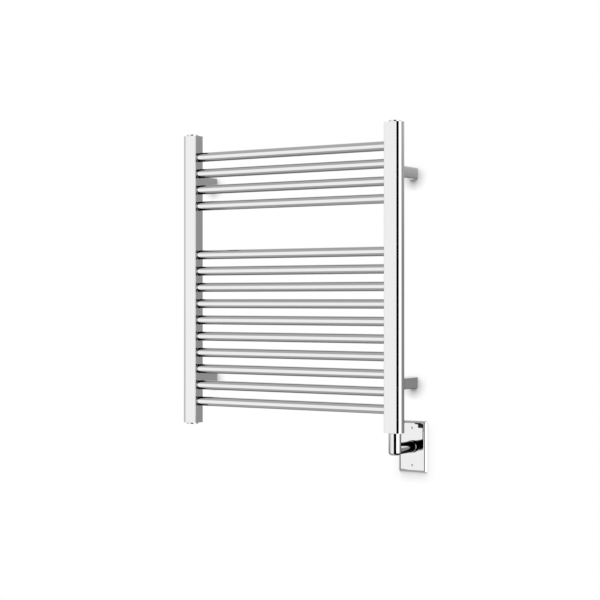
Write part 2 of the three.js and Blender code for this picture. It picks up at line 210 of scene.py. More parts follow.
def make_world():
    world = bpy.data.worlds.new("studio")
    bpy.context.scene.world = world
    world.use_nodes = True
    tree = world.node_tree
    tree.nodes.clear()
    direction = tree.nodes.new("ShaderNodeTexCoord").outputs["Generated"]
    split = tree.nodes.new("ShaderNodeSeparateXYZ")
    join(tree, direction, split.inputs[0])
    towards_room = math_node(tree, "MULTIPLY", split.outputs["Y"], -1.0)
    turn = math_node(tree, "ARCTAN2", split.outputs["X"], towards_room)
    azimuth = math_node(tree, "DEGREES", turn)
    elevation = math_node(tree, "DEGREES", math_node(tree, "ARCSINE", split.outputs["Z"]))
    low = fade(tree, elevation, -HORIZON_FADE, HORIZON_FADE)
    brightness = math_node(tree, "MULTIPLY_ADD", low, DOME_LOW - DOME_HIGH, DOME_HIGH)
    for name, (centre, half, height, half_height, softness, level) in PANELS.items():
        panel = tree.nodes.new("ShaderNodeGroup")
        panel.node_tree = PANEL
        panel.label = name
        values = {"Azimuth": azimuth, "Elevation": elevation, "Centre azimuth": centre,
                  "Half width": half, "Centre elevation": height, "Half height": half_height,
                  "Softness": softness}
        for socket, value in values.items():
            join(tree, value, panel.inputs[socket])
        mix = tree.nodes.new("ShaderNodeMix")
        join(tree, panel.outputs["Mask"], mix.inputs["Factor"])
        join(tree, brightness, mix.inputs["A"])
        join(tree, float(level), mix.inputs["B"])
        brightness = mix.outputs["Result"]
    room = tree.nodes.new("ShaderNodeBackground")
    room.inputs["Color"].default_value = (1, 1, 1, 1)
    join(tree, brightness, room.inputs["Strength"])
    backdrop = tree.nodes.new("ShaderNodeBackground")
    backdrop.inputs["Color"].default_value = (1, 1, 1, 1)
    seen = tree.nodes.new("ShaderNodeMixShader")
    join(tree, tree.nodes.new("ShaderNodeLightPath").outputs["Is Camera Ray"], seen.inputs[0])
    join(tree, room.outputs[0], seen.inputs[1])
    join(tree, backdrop.outputs[0], seen.inputs[2])
    join(tree, seen.outputs[0], tree.nodes.new("ShaderNodeOutputWorld").inputs["Surface"])
    return world


make_world()
print("studio panels:", ", ".join(PANELS))

# %% [markdown]
# The wall and the floor are the stage. The wall is a single white sheet whose back is
# transparent, so that the rack can be looked at from behind. It glows evenly, as a wall lit
# from all over does, and its glow carries a painted shadow: an occlusion node makes it darker
# only close under and beside what touches it. Neither sheet shows in the plating: the dome
# does, as if the rack had been lit on a stand.

# %% Wall, floor and lamp
FLOOR_DROP = 0.55
STAGE_REACH = 6.0
SHADOW_REACH = 0.027
SHADOW_DEPTH = 1.35
SHADOW_EASE = 1.15
LIGHT_FROM = (0.0, -1.0, 1.2)
SHADOW_SAMPLES = 24
WALL_GAP = 0.4 * MM
LAMP_STRENGTH = 1.6
LAMP_SPREAD = math.radians(70)
LAMP_DIRECTION = Vector((0.18, 0.75, -0.62))


def painted_contact_shadow(tree):
    """Painted shadow on the wall's glow: 1, less what nearby pieces hide of a light above it."""
    direction = tree.nodes.new("ShaderNodeNormal")
    direction.outputs[0].default_value = Vector(LIGHT_FROM).normalized()
    hidden = tree.nodes.new("ShaderNodeAmbientOcclusion")
    hidden.samples = SHADOW_SAMPLES
    hidden.inputs["Distance"].default_value = SHADOW_REACH
    join(tree, direction.outputs[0], hidden.inputs["Normal"])
    shade = math_node(tree, "SUBTRACT", 1.0, hidden.outputs["AO"])
    eased = math_node(tree, "POWER", shade, SHADOW_EASE)
    return math_node(tree, "MULTIPLY_ADD", eased, -SHADOW_DEPTH, 1.0)


def wall_material():
    material = bpy.data.materials.new("wall_white")
    material.use_nodes = True
    tree = material.node_tree
    tree.nodes.clear()
    glow = tree.nodes.new("ShaderNodeEmission")
    glow.inputs["Color"].default_value = (1, 1, 1, 1)
    # Painted shadow: the glow is dimmed where the occlusion node finds pieces close by.
    join(tree, painted_contact_shadow(tree), glow.inputs["Strength"])
    clear = tree.nodes.new("ShaderNodeBsdfTransparent")
    mix = tree.nodes.new("ShaderNodeMixShader")
    join(tree, tree.nodes.new("ShaderNodeNewGeometry").outputs["Backfacing"], mix.inputs[0])
    join(tree, glow.outputs[0], mix.inputs[1])
    join(tree, clear.outputs[0], mix.inputs[2])
    join(tree, mix.outputs[0], tree.nodes.new("ShaderNodeOutputMaterial").inputs["Surface"])
    return material


def floor_material():
    material = bpy.data.materials.new("pale_floor")
    material.use_nodes = True
    shader = material.node_tree.nodes["Principled BSDF"]
    shader.inputs["Base Color"].default_value = (0.86, 0.86, 0.85, 1)
    shader.inputs["Roughness"].default_value = 0.8
    return material


def stage_sheet(name, turn, place, material):
    bm = bmesh.new()
    bmesh.ops.create_grid(bm, x_segments=1, y_segments=1, size=STAGE_REACH)
    bmesh.ops.transform(bm, matrix=Matrix.Translation(place) @ turn, verts=bm.verts)
    mesh = bpy.data.meshes.new(name)
    bm.to_mesh(mesh)
    bm.free()
    sheet = bpy.data.objects.new(name, mesh)
    bpy.context.scene.collection.objects.link(sheet)
    mesh.materials.append(material)
    sheet.visible_glossy = False
    return sheet


def make_stage():
    facing_room = Matrix.Rotation(math.radians(90), 4, "X")
    wall = stage_sheet("wall", facing_room, Vector((0, WALL_GAP, 0)), wall_material())
    floor_height = cad_box[0][2] - FLOOR_DROP
    floor = stage_sheet("floor", Matrix.Identity(4), Vector((0, 0, floor_height)), floor_material())
    return wall, floor


def make_lamp():
    light = bpy.data.lights.new("overhead_softbox", "SUN")
    light.energy = LAMP_STRENGTH
    light.angle = LAMP_SPREAD
    lamp = bpy.data.objects.new("overhead_softbox", light)
    lamp.rotation_euler = LAMP_DIRECTION.to_track_quat("-Z", "Y").to_euler()
    lamp.visible_glossy = False
    bpy.context.scene.collection.objects.link(lamp)
    return lamp


make_stage()
make_lamp()
bpy.context.scene.view_settings.view_transform = "Standard"
print("stage made")

# %% [markdown]
# Bright chrome is polished by hand and by wheel before it is plated, so its mirror is never
# perfect: it has faint lines along the stroke, a soft unevenness that bends reflections a
# little, and a thin haze where a cloth has wiped it. Three groups hold those effects, and
# every metal uses them with its own numbers. They put out only what changes over a surface.

# %% Surface effects, as groups
def object_point(tree, scale):
    """Object coordinates, stretched by a Mapping node."""
    place = tree.nodes.new("ShaderNodeTexCoord").outputs["Object"]
    mapping = tree.nodes.new("ShaderNodeMapping")
    join(tree, place, mapping.inputs["Vector"])
    join(tree, scale, mapping.inputs["Scale"])
    return mapping.outputs["Vector"]


def noise(tree, point, scale, detail=3.0, roughness=0.5):
    node = tree.nodes.new("ShaderNodeTexNoise")
    join(tree, point, node.inputs["Vector"])
    join(tree, scale, node.inputs["Scale"])
    node.inputs["Detail"].default_value = detail
    node.inputs["Roughness"].default_value = roughness
    return node.outputs["Fac"]


def make_stroke_group():
    """Fine polishing lines: noise drawn out along one direction by Stretch."""
    group, start, end = new_group(
        "polishing_strokes",
        [("Stretch", VECTOR, (1, 1, 1)), ("Fineness", FLOAT, 900)],
        [("Height", FLOAT), ("Lines", FLOAT)],
    )
    point = object_point(group, start.outputs["Stretch"])
    fine = noise(group, point, start.outputs["Fineness"], 2.0)
    coarse = noise(group, point, math_node(group, "MULTIPLY", start.outputs["Fineness"], 0.21), 2.0)
    both = math_node(group, "MULTIPLY_ADD", coarse, 0.6, math_node(group, "MULTIPLY", fine, 0.4))
    join(group, both, end.inputs["Height"])
    join(group, fade(group, both, 0.62, 0.40), end.inputs["Lines"])
    return group


print("made: polishing strokes, as a function")

# %% [markdown]
# The wiped haze is a roughness: one low value, with cloudy patches that are a little duller and
# a trace more along the polishing lines.

# %% Wiped haze, as a group
def make_haze_group():
    """Roughness of a wiped mirror: a low value with cloudy patches a little duller."""
    group, start, end = new_group(
        "wiped_haze",
        [("Sharpness", FLOAT, 0.03), ("Cloud", FLOAT, 0.03), ("Size", FLOAT, 14), ("Lines", FLOAT, 0)],
        [("Roughness", FLOAT)],
    )
    point = object_point(group, (1, 1, 1))
    clouds = noise(group, point, start.outputs["Size"], 4.0, 0.55)
    patchy = math_node(group, "SUBTRACT", 1.0, fade(group, clouds, 0.42, 0.72))
    dull = math_node(group, "MULTIPLY", patchy, start.outputs["Cloud"])
    with_lines = math_node(group, "MULTIPLY_ADD", start.outputs["Lines"], 0.012, dull)
    join(group, math_node(group, "ADD", with_lines, start.outputs["Sharpness"]), end.inputs["Roughness"])
    return group


print("made: wiped haze, as a function")

# %% [markdown]
# Dust settles only on faces that look up. It is a mask of specks that mixes a warm grey into
# the metal's colour. The mask also goes out as a value, so that the finish is duller there.

# %% Settled dust, as a group
def make_dust_group():
    """A little dust that has settled on faces that look up."""
    group, start, end = new_group(
        "settled_dust",
        [("Colour", COLOUR, (0.86, 0.865, 0.875, 1)), ("Amount", FLOAT, 0.1)],
        [("Colour", COLOUR), ("Dust", FLOAT)],
    )
    normal = group.nodes.new("ShaderNodeNewGeometry").outputs["Normal"]
    split = group.nodes.new("ShaderNodeSeparateXYZ")
    join(group, normal, split.inputs[0])
    facing_up = math_node(group, "SUBTRACT", 1.0, fade(group, split.outputs["Z"], 0.75, 1.0))
    specks = noise(group, object_point(group, (1, 1, 1)), 420.0, 6.0, 0.7)
    speckled = math_node(group, "SUBTRACT", 1.0, fade(group, specks, 0.45, 0.75))
    amount = math_node(group, "MULTIPLY", math_node(group, "MULTIPLY", facing_up, speckled),
                       start.outputs["Amount"])
    mix = group.nodes.new("ShaderNodeMix")
    mix.data_type = "RGBA"
    join(group, amount, mix.inputs["Factor"])
    join(group, start.outputs["Colour"], mix.inputs[6])
    mix.inputs[7].default_value = (0.62, 0.61, 0.59, 1)
    join(group, mix.outputs[2], end.inputs["Colour"])
    join(group, amount, end.inputs["Dust"])
    return group


STROKES = make_stroke_group()
HAZE = make_haze_group()
DUST = make_dust_group()
print("effect groups:", STROKES.name, HAZE.name, DUST.name)

# %% [markdown]
# Metal that is seen in other metal is drawn darker than it really would be, as painted shade: on
# a ray that has already met one mirror, each metal's colour is lowered by its own share of loss.
# That is a choice of style and not how chrome behaves. It gives the plating painted black
# accents, and makes the rack darker than real chrome from sides where its parts mirror each other.
#
# Every finish is one Principled BSDF. A helper places the groups and joins them, and each
# finish says only its own colour, sharpness and stroke direction. Bump distances are in
# metres, and on the polished chrome they are only millionths of a millimetre.

# %% Finishes
def place_group(tree, group, **values):
    node = tree.nodes.new("ShaderNodeGroup")
    node.node_tree = group
    for socket, value in values.items():
        join(tree, value, node.inputs[socket.replace("_", " ").capitalize()])
    return node


def metal(name, colour, sharpness, cloud, stretch, fineness, depth, dust, loss=0.97):
    material = bpy.data.materials.new(name)
    material.use_nodes = True
    tree = material.node_tree
    shader = tree.nodes["Principled BSDF"]
    shader.inputs["Metallic"].default_value = 1.0
    strokes = place_group(tree, STROKES, stretch=stretch, fineness=fineness)
    haze = place_group(tree, HAZE, sharpness=sharpness, cloud=cloud, lines=strokes.outputs["Lines"])
    settled = place_group(tree, DUST, colour=(*colour, 1), amount=dust)
    dulled = math_node(tree, "MULTIPLY_ADD", settled.outputs["Dust"], 0.5, haze.outputs["Roughness"])
    bump = tree.nodes.new("ShaderNodeBump")
    bump.inputs["Strength"].default_value = 1.0
    bump.inputs["Distance"].default_value = depth
    join(tree, strokes.outputs["Height"], bump.inputs["Height"])
    # Painted shade: on rays that have already met one mirror, the base colour is lowered by the metal's own
    # share.
    first = math_node(tree, "MINIMUM", tree.nodes.new("ShaderNodeLightPath").outputs["Glossy Depth"], 1.0)
    kept = math_node(tree, "MULTIPLY_ADD", first, -loss, 1.0)
    colour_kept = tree.nodes.new("ShaderNodeVectorMath")
    colour_kept.operation = "SCALE"
    join(tree, settled.outputs["Colour"], colour_kept.inputs[0])
    join(tree, kept, colour_kept.inputs["Scale"])
    join(tree, colour_kept.outputs[0], shader.inputs["Base Color"])
    join(tree, dulled, shader.inputs["Roughness"])
    join(tree, bump.outputs["Normal"], shader.inputs["Normal"])
    return material


CHROME = (0.866, 0.866, 0.868)
chrome_rung = metal("chrome_on_rungs", CHROME, 0.02, 0.01, (0.03, 1, 1), 500, 0.000006 * MM, 0.12, 0.5)
chrome_upright = metal("chrome_on_uprights", CHROME, 0.02, 0.01, (1, 1, 0.03), 500, 0.000005 * MM, 0.12)
chrome_fitting = metal("chrome_on_fittings", CHROME, 0.02, 0.01, (1, 1, 1), 700, 0.000004 * MM, 0.1)
chrome_plate = metal("chrome_on_plate", CHROME, 0.02, 0.01, (1, 1, 0.05), 500, 0.000004 * MM, 0.1)
weld = metal("plated_weld", (0.80, 0.805, 0.815), 0.09, 0.05, (1, 1, 1), 900, 0.0006 * MM, 0.1)
zinc = metal("bright_zinc", (0.66, 0.67, 0.69), 0.24, 0.10, (0.05, 1, 1), 900, 0.002 * MM, 0.2)
steel = metal("plain_steel", (0.56, 0.55, 0.53), 0.28, 0.12, (1, 1, 0.05), 900, 0.002 * MM, 0.2)
dark_steel = metal("blackened_steel", (0.10, 0.10, 0.105), 0.34, 0.10, (1, 1, 1), 1400, 0.003 * MM, 0.2)
brass = metal("turned_brass", (0.76, 0.60, 0.32), 0.2, 0.1, (1, 1, 30), 60, 0.003 * MM, 0.2)
copper = metal("bare_copper", (0.82, 0.44, 0.28), 0.25, 0.1, (1, 0.05, 1), 2000, 0.001 * MM, 0.0)


print("metal finishes:", sum(m.name.startswith("chrome") for m in bpy.data.materials), "chrome")

# %% [markdown]
# Rubber and plastic are not metals: each is one colour, a little uneven, over a fine moulded
# grain. The same noise drives the colour, the roughness and the bump, so that they agree.

# %% Rubber and plastics
def soft_matter(name, colour, roughness, grain, depth, speckle):
    """Rubber and plastic: one colour that varies a little with a moulded grain."""
    material = bpy.data.materials.new(name)
    material.use_nodes = True
    tree = material.node_tree
    shader = tree.nodes["Principled BSDF"]
    grains = noise(tree, object_point(tree, (1, 1, 1)), grain, 4.0, 0.6)
    mix = tree.nodes.new("ShaderNodeMix")
    mix.data_type = "RGBA"
    join(tree, grains, mix.inputs["Factor"])
    mix.inputs[6].default_value = (*[c * (1 - speckle) for c in colour], 1)
    mix.inputs[7].default_value = (*[min(c * (1 + speckle), 1) for c in colour], 1)
    join(tree, mix.outputs[2], shader.inputs["Base Color"])
    join(tree, math_node(tree, "MULTIPLY_ADD", grains, 0.15, roughness - 0.07), shader.inputs["Roughness"])
    bump = tree.nodes.new("ShaderNodeBump")
    bump.inputs["Distance"].default_value = depth
    join(tree, grains, bump.inputs["Height"])
    join(tree, bump.outputs["Normal"], shader.inputs["Normal"])
    return material


rubber = soft_matter("seal_rubber", (0.03, 0.03, 0.032), 0.62, 1500, 0.02 * MM, 0.3)
sheath = soft_matter("lead_sheath", (0.74, 0.73, 0.70), 0.5, 900, 0.01 * MM, 0.08)
core_black = soft_matter("core_black", (0.02, 0.02, 0.02), 0.4, 900, 0.005 * MM, 0.2)
core_white = soft_matter("core_white", (0.78, 0.78, 0.76), 0.4, 900, 0.005 * MM, 0.05)
core_green = soft_matter("core_green", (0.04, 0.26, 0.08), 0.4, 900, 0.005 * MM, 0.1)
print("finishes:", len(bpy.data.materials))

# %% [markdown]
# Most pieces are either turned or extruded. A turned piece starts as a wire of a few points
# whose corners are rounded by a vertex bevel, and is spun about its axis. An extruded piece
# starts as a wire outline, rounded in the same way, that is bridged and extruded. The helpers
# below do those two things. Large round parts have 96 steps, so that a mirror finish shows no
# facets.

# %% Modelling helpers
ROUND_STEPS = 96
MERGE = 1e-7
CUT_MERGE = 1e-6
UP_TO = {"X": Matrix.Rotation(math.radians(90), 4, "Y"),
         "Y": Matrix.Rotation(math.radians(-90), 4, "X"),
         "Z": Matrix.Identity(4)}


def add_wire(bm, points, closed):
    verts = [bm.verts.new(point) for point in points]
    pairs = list(zip(verts, verts[1:]))
    if closed:
        pairs.append((verts[-1], verts[0]))
    for pair in pairs:
        bm.edges.new(pair)
    return verts


def round_corners(bm, corners, steps):
    """Rounds each (vertex, radius) of a wire."""
    for vert, radius in corners:
        if radius > 0:
            bmesh.ops.bevel(bm, geom=[vert], offset=radius, segments=steps, profile=0.5,
                            affect="VERTICES", material=-1)
    bmesh.ops.remove_doubles(bm, verts=bm.verts, dist=MERGE)


def smooth_by_angle(bm, sharp):
    """Smooth shading, except where two faces meet at more than `sharp` degrees."""
    for face in bm.faces:
        face.smooth = True
    for edge in bm.edges:
        edge.smooth = edge.calc_face_angle(math.pi) < math.radians(sharp)


def finish_mesh(bm, name, material, sharp=30):
    """Makes the mesh an object, with faces outwards and smooth shading."""
    bmesh.ops.remove_doubles(bm, verts=bm.verts, dist=MERGE)
    bmesh.ops.recalc_face_normals(bm, faces=bm.faces)
    smooth_by_angle(bm, sharp)
    mesh = bpy.data.meshes.new(name)
    bm.to_mesh(mesh)
    bm.free()
    mesh.materials.append(material)
    piece = bpy.data.objects.new(name, mesh)
    bpy.context.scene.collection.objects.link(piece)
    return piece


def place(bm, centre, axis="Z"):
    bmesh.ops.transform(bm, matrix=Matrix.Translation(centre) @ UP_TO[axis], verts=bm.verts)


print("steps of a round part:", ROUND_STEPS)

# %% [markdown]
# A turned piece gets its round corners while its profile is still a wire, so that the spin
# alone makes the whole surface. An outline is rounded in the same way.

# %% Turned and outlined shapes
def spin_round(bm, steps):
    """Spins a whole wire once about Z."""
    bmesh.ops.spin(bm, geom=bm.verts[:] + bm.edges[:], cent=(0, 0, 0), axis=(0, 0, 1),
                   angle=math.tau, steps=steps, use_merge=True)


def turned(points, radii, centre, axis="Z", closed=False, steps=ROUND_STEPS, corner_steps=6):
    """Spins (radius, height) points about the axis. `radii` rounds the corners in turn."""
    bm = bmesh.new()
    verts = add_wire(bm, [(r, 0, h) for r, h in points], closed)
    round_corners(bm, list(zip(verts, radii)), corner_steps)
    spin_round(bm, steps)
    bmesh.ops.remove_doubles(bm, verts=bm.verts, dist=MERGE)
    bmesh.ops.dissolve_degenerate(bm, dist=MERGE, edges=bm.edges)
    place(bm, centre, axis)
    return bm


def outline(bm, half_width, half_depth, radii, height, steps):
    """A rectangle in the plane z = height, with its four corners rounded in turn from +X +Y."""
    corners = [(1, 1), (-1, 1), (-1, -1), (1, -1)]
    before = set(bm.verts)
    verts = add_wire(bm, [(sx * half_width, sy * half_depth, height) for sx, sy in corners], True)
    round_corners(bm, list(zip(verts, radii)), steps)
    new = {v for v in bm.verts if v not in before}
    return [e for e in bm.edges if set(e.verts) <= new]


print("merge distance:", MERGE, "m")

# %% [markdown]
# Holes, sockets and slots are easier to cut than to build. A cutter reaches past the surface
# that it cuts, and points that the cut leaves almost on top of one another are then joined.

# %% Blocks, joining and cutting
def only(geometry, kind):
    return [item for item in geometry if isinstance(item, kind)]


def pull_up(bm, faces, height):
    """Extrudes faces, and moves the new end up by height."""
    pulled = bmesh.ops.extrude_face_region(bm, geom=faces)["geom"]
    bmesh.ops.translate(bm, verts=only(pulled, bmesh.types.BMVert), vec=(0, 0, height))


def block(size, centre):
    bm = bmesh.new()
    bmesh.ops.create_cube(bm, size=1.0)
    bmesh.ops.scale(bm, vec=size, verts=bm.verts)
    bmesh.ops.translate(bm, vec=centre, verts=bm.verts)
    return bm


def merged(parts):
    """One mesh that holds all the given ones, which are freed."""
    whole = bmesh.new()
    for part in parts:
        mesh = bpy.data.meshes.new("part")
        part.to_mesh(mesh)
        part.free()
        whole.from_mesh(mesh)
        bpy.data.meshes.remove(mesh)
    return whole


def cut_away(piece, *cutters, sharp=30):
    """Takes cutter solids out of a piece with exact booleans, and removes the cutters."""
    for cutter in cutters:
        cutter_object = cutter
        if isinstance(cutter, bmesh.types.BMesh):
            cutter_object = finish_mesh(cutter, "cutter", piece.data.materials[0])
        modifier = piece.modifiers.new("cut", "BOOLEAN")
        modifier.operation = "DIFFERENCE"
        modifier.solver = "EXACT"
        modifier.object = cutter_object
        bpy.context.view_layer.update()
        done = bpy.data.meshes.new_from_object(piece.evaluated_get(bpy.context.evaluated_depsgraph_get()))
        piece.modifiers.remove(modifier)
        bpy.data.objects.remove(cutter_object)
        old, name = piece.data, piece.data.name
        piece.data = done
        bpy.data.meshes.remove(old)
        done.name = name
    bm = bmesh.new()
    bm.from_mesh(piece.data)
    bmesh.ops.remove_doubles(bm, verts=bm.verts, dist=CUT_MERGE)
    smooth_by_angle(bm, sharp)
    bm.to_mesh(piece.data)
    bm.free()
    return piece


def even_normals(piece):
    """Lets large flat faces keep their own normal where they meet a rounded edge."""
    modifier = piece.modifiers.new("even_normals", "WEIGHTED_NORMAL")
    modifier.mode = "FACE_AREA"
    modifier.weight = 100
    modifier.keep_sharp = True
    return piece


print("merge distance after a cut:", CUT_MERGE, "m")

# %% [markdown]
# Every piece says which body it rides on, and which CAD nodes it stands for if it replaces any.
# Places and sizes are read from the boxes of the CAD nodes.

# %% Bodies and boxes
def belongs(piece, body, slot, *nodes):
    """Says which body a piece rides on, and hides the CAD nodes that it stands for. Its finish, slot, is not
    used.
    """
    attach(piece, body)
    if nodes:
        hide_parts(*nodes)
    return piece


def middle(node):
    low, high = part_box(node)
    return (low + high) / 2


def size_of(node):
    low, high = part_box(node)
    return high - low


print("helpers ready")

# %% [markdown]
# ## Uprights
# Each upright is a drawn steel tube with a D-shaped section: flat towards the rungs, with two
# deep rounds on the outside. The outline is a rectangle whose corners are rounded by different
# amounts. A second outline inside it gives the wall, and the two are bridged and pulled up.
# The rungs' holes are cut last.

# %% Uprights
UPRIGHT_WALL = 2.0 * MM
UPRIGHT_EDGE = 1.5 * MM
UPRIGHT_ROUND = 12 * MM
UPRIGHT_CORNER_STEPS = 20
LEAST_EDGE = 0.4 * MM
SIDES = {"left": -1, "right": 1}
RUNGS = sorted(node for node in frame["nodes"] if node.startswith("rung_"))
rung_radius = size_of(RUNGS[0]).z / 2


def d_outline(bm, node, inset, height):
    """The section of an upright's box, drawn in by inset, with its deep rounds towards +X."""
    size = size_of(node)
    half_width, half_depth = size.x / 2 - inset, size.y / 2 - inset
    small = max(UPRIGHT_EDGE - inset, LEAST_EDGE)
    deep = UPRIGHT_ROUND - inset
    radii = (deep, small, small, deep)
    return outline(bm, half_width, half_depth, radii, height, UPRIGHT_CORNER_STEPS)


def facing(sign):
    """Turns a piece drawn for the right side round to the other side."""
    return Matrix.Identity(4) if sign > 0 else Matrix.Rotation(math.pi, 4, "Z")


def inner_face(side, sign):
    """X of the flat face that the rungs enter."""
    node = f"{side}_upright"
    return middle(node).x - sign * size_of(node).x / 2


def cylinder(radius, low, high, centre, axis="Z", steps=48):
    points = [(0, low), (radius, low), (radius, high), (0, high)]
    return turned(points, (0, 0, 0, 0), centre, axis, steps=steps)


def make_upright(side, sign):
    node = f"{side}_upright"
    centre, size = middle(node), size_of(node)
    bm = bmesh.new()
    edges = d_outline(bm, node, 0, 0) + d_outline(bm, node, UPRIGHT_WALL, 0)
    ring = bmesh.ops.bridge_loops(bm, edges=edges)["faces"]
    pull_up(bm, ring, size.z)
    turn = Matrix.Translation((centre.x, centre.y, centre.z - size.z / 2)) @ facing(sign)
    bmesh.ops.transform(bm, matrix=turn, verts=bm.verts)
    piece = finish_mesh(bm, f"{side}_upright_tube", chrome_upright)
    reach = 2 * UPRIGHT_WALL
    face = inner_face(side, sign)
    places = [Vector((face, middle(rung).y, middle(rung).z)) for rung in RUNGS]
    holes = [cylinder(rung_radius, -reach, reach, spot, "X", ROUND_STEPS) for spot in places]
    cut_away(piece, merged(holes))
    even_normals(piece)
    return belongs(piece, "rack", "polished_chrome", node)


for side, sign in SIDES.items():
    made = make_upright(side, sign)
    print(made.name, len(made.data.polygons), "faces")

# %% [markdown]
# ## End closures
# A D-shaped plate is welded into each end of an upright, flush with it, and ground before
# plating, so that only a hair line shows between the two. It has a tapped hole for a plug.

# %% End closures
SEAM = 0.12 * MM
CLOSURE_EDGE = 0.2 * MM
THREAD_RADIUS = 10.5 * MM


def make_closure(side, sign, end):
    node = f"{side}_{end}_closure"
    centre, size = middle(node), size_of(node)
    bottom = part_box(node)[0].z
    bm = bmesh.new()
    edges = d_outline(bm, f"{side}_upright", UPRIGHT_WALL + SEAM / 2, 0)
    bmesh.ops.contextual_create(bm, geom=edges)
    pull_up(bm, bm.faces[:], size.z)
    rim = [e for e in bm.edges if abs(e.verts[0].co.z - e.verts[1].co.z) < 1e-9]
    bmesh.ops.bevel(bm, geom=rim, offset=CLOSURE_EDGE, segments=2, profile=0.5, affect="EDGES",
                    material=-1)
    turn = Matrix.Translation((middle(f"{side}_upright").x, centre.y, bottom)) @ facing(sign)
    bmesh.ops.transform(bm, matrix=turn, verts=bm.verts)
    piece = finish_mesh(bm, f"{node}_plate", chrome_upright)
    axis_point = Vector((middle(f"{side}_upright").x, centre.y, centre.z))
    cut_away(piece, cylinder(THREAD_RADIUS, -size.z, size.z, axis_point))
    even_normals(piece)
    return belongs(piece, "rack", "plain_steel", node)


for side, sign in SIDES.items():
    for end in ("top", "bottom"):
        make_closure(side, sign, end)
print("closures made")

# %% [markdown]
# ## Rungs
# A rung is a thin round tube that passes through the upright's wall and stops just inside. It
# is a closed four-point profile, spun and laid along X.

# %% Rungs
RUNG_WALL = 1.5 * MM
RUNG_EDGE = 0.2 * MM


def make_rung(node):
    half = size_of(node).x / 2
    inner = rung_radius - RUNG_WALL
    bm = turned([(inner, -half), (rung_radius, -half), (rung_radius, half), (inner, half)],
                (RUNG_EDGE,) * 4, middle(node), "X", closed=True, corner_steps=2)
    piece = finish_mesh(bm, node.replace("rung", "rung_tube"), chrome_rung)
    even_normals(piece)
    return belongs(piece, "rack", "polished_chrome", node)


for node in RUNGS:
    make_rung(node)
print("rungs made:", len(RUNGS))

# %% [markdown]
# Where a rung meets the upright, the brazed joint is a small hollow fillet: a six-point profile,
# one corner of which is rounded inwards. It is drawn standing on z = 0 and then laid against
# the upright. All of one upright's fillets are one piece, since none of them moves alone.

# %% Brazed fillets
FILLET = 1.1 * MM
FILLET_BURIED = 0.25 * MM
FILLET_STEPS = 64


def fillet_ring(radius, size, steps=5):
    """A hollow fillet about Z: it stands on z = 0 and leans on a cylinder of that radius."""
    bm = bmesh.new()
    root = radius - FILLET_BURIED
    verts = add_wire(bm, [(root, 0, size), (radius, 0, size), (radius, 0, 0), (radius + size, 0, 0),
                          (radius + size, 0, -FILLET_BURIED), (root, 0, -FILLET_BURIED)], True)
    round_corners(bm, [(verts[2], 0.98 * size)], steps)
    spin_round(bm, FILLET_STEPS)
    return bm


def make_fillets(side, sign):
    """All of one upright's fillets, as one piece."""
    turn = Matrix.Rotation(math.radians(-90 * sign), 4, "Y")
    rings = []
    for node in RUNGS:
        ring = fillet_ring(rung_radius, FILLET)
        at = Matrix.Translation((inner_face(side, sign), middle(node).y, middle(node).z))
        bmesh.ops.transform(ring, matrix=at @ turn, verts=ring.verts)
        rings.append(ring)
    piece = finish_mesh(merged(rings), f"{side}_rung_fillets", weld, sharp=50)
    return belongs(piece, "rack", "polished_chrome")


for side, sign in SIDES.items():
    made = make_fillets(side, sign)
    print(made.name, len(made.data.polygons), "faces")

# %% [markdown]
# ## Plugs, seals and the air vent
# Three of the four closures are shut with a short plug, and the element shuts the fourth. Two
# plugs have a hexagon socket, and the one at the top left has a vent screw in its middle
# instead. Under each head an O-ring sits in a groove. A plug is one turned profile, and its
# socket is cut with a six-sided cylinder.

# %% Plugs
PLUG_THREAD = 12 * MM
SOCKET_ACROSS = 12 * MM
SOCKET_DEPTH = 3.6 * MM
VENT_BORE = 3.2 * MM
CUT_MARGIN = 2 * MM


def plug_frame(node):
    """The plug's axis point on the upright's end, its direction, head radius and crown height."""
    low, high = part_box(node)
    centre = middle(node)
    outward = 1 if centre.z > 0 else -1
    end_z = outward * size_of("left_upright").z / 2
    crown = (high.z if outward > 0 else -low.z) - abs(end_z)
    return Vector((centre.x, centre.y, end_z)), outward, (high.x - low.x) / 2, crown


def plug_profile(bore, radius, crown):
    thread = THREAD_RADIUS - 0.3 * MM
    groove_out, groove_roof, seat = 13.0 * MM, 1.9 * MM, 0.15 * MM
    points = [(bore, -PLUG_THREAD), (thread, -PLUG_THREAD), (thread, groove_roof), (groove_out, groove_roof),
              (groove_out, seat), (radius, seat), (radius, crown), (bore, crown)]
    radii = (0, 0.8 * MM, 0, 0.2 * MM, 0.1 * MM, 0.15 * MM, 0.6 * MM, 0.3 * MM if bore else 0)
    return points, radii


def turn_over(bm, centre, outward):
    """Stands a piece drawn along +Z on the upright's end, upside down at the lower end."""
    flip = Matrix.Identity(4) if outward > 0 else Matrix.Rotation(math.pi, 4, "X")
    bmesh.ops.transform(bm, matrix=Matrix.Translation(centre) @ flip, verts=bm.verts)
    return bm


def make_blind_plug(node):
    centre, outward, radius, crown = plug_frame(node)
    points, radii = plug_profile(0, radius, crown)
    bm = turn_over(turned(points, radii, Vector(), corner_steps=5), centre, outward)
    piece = finish_mesh(bm, f"{node}_body", chrome_fitting)
    corner = SOCKET_ACROSS / math.sqrt(3)
    hexagon = cylinder(corner, crown - SOCKET_DEPTH, crown + CUT_MARGIN, Vector(), steps=6)
    cut_away(piece, turn_over(hexagon, centre, outward))
    even_normals(piece)
    return belongs(piece, "rack", "polished_chrome", node)


def make_vent_plug(node):
    centre, outward, radius, crown = plug_frame(node)
    points, radii = plug_profile(VENT_BORE, radius, crown)
    bm = turned(points, radii, centre, closed=True, corner_steps=5)
    piece = finish_mesh(bm, f"{node}_body", chrome_fitting)
    return belongs(piece, "rack", "polished_chrome", node)


print("plug thread:", round(PLUG_THREAD / MM, 1), "mm long")

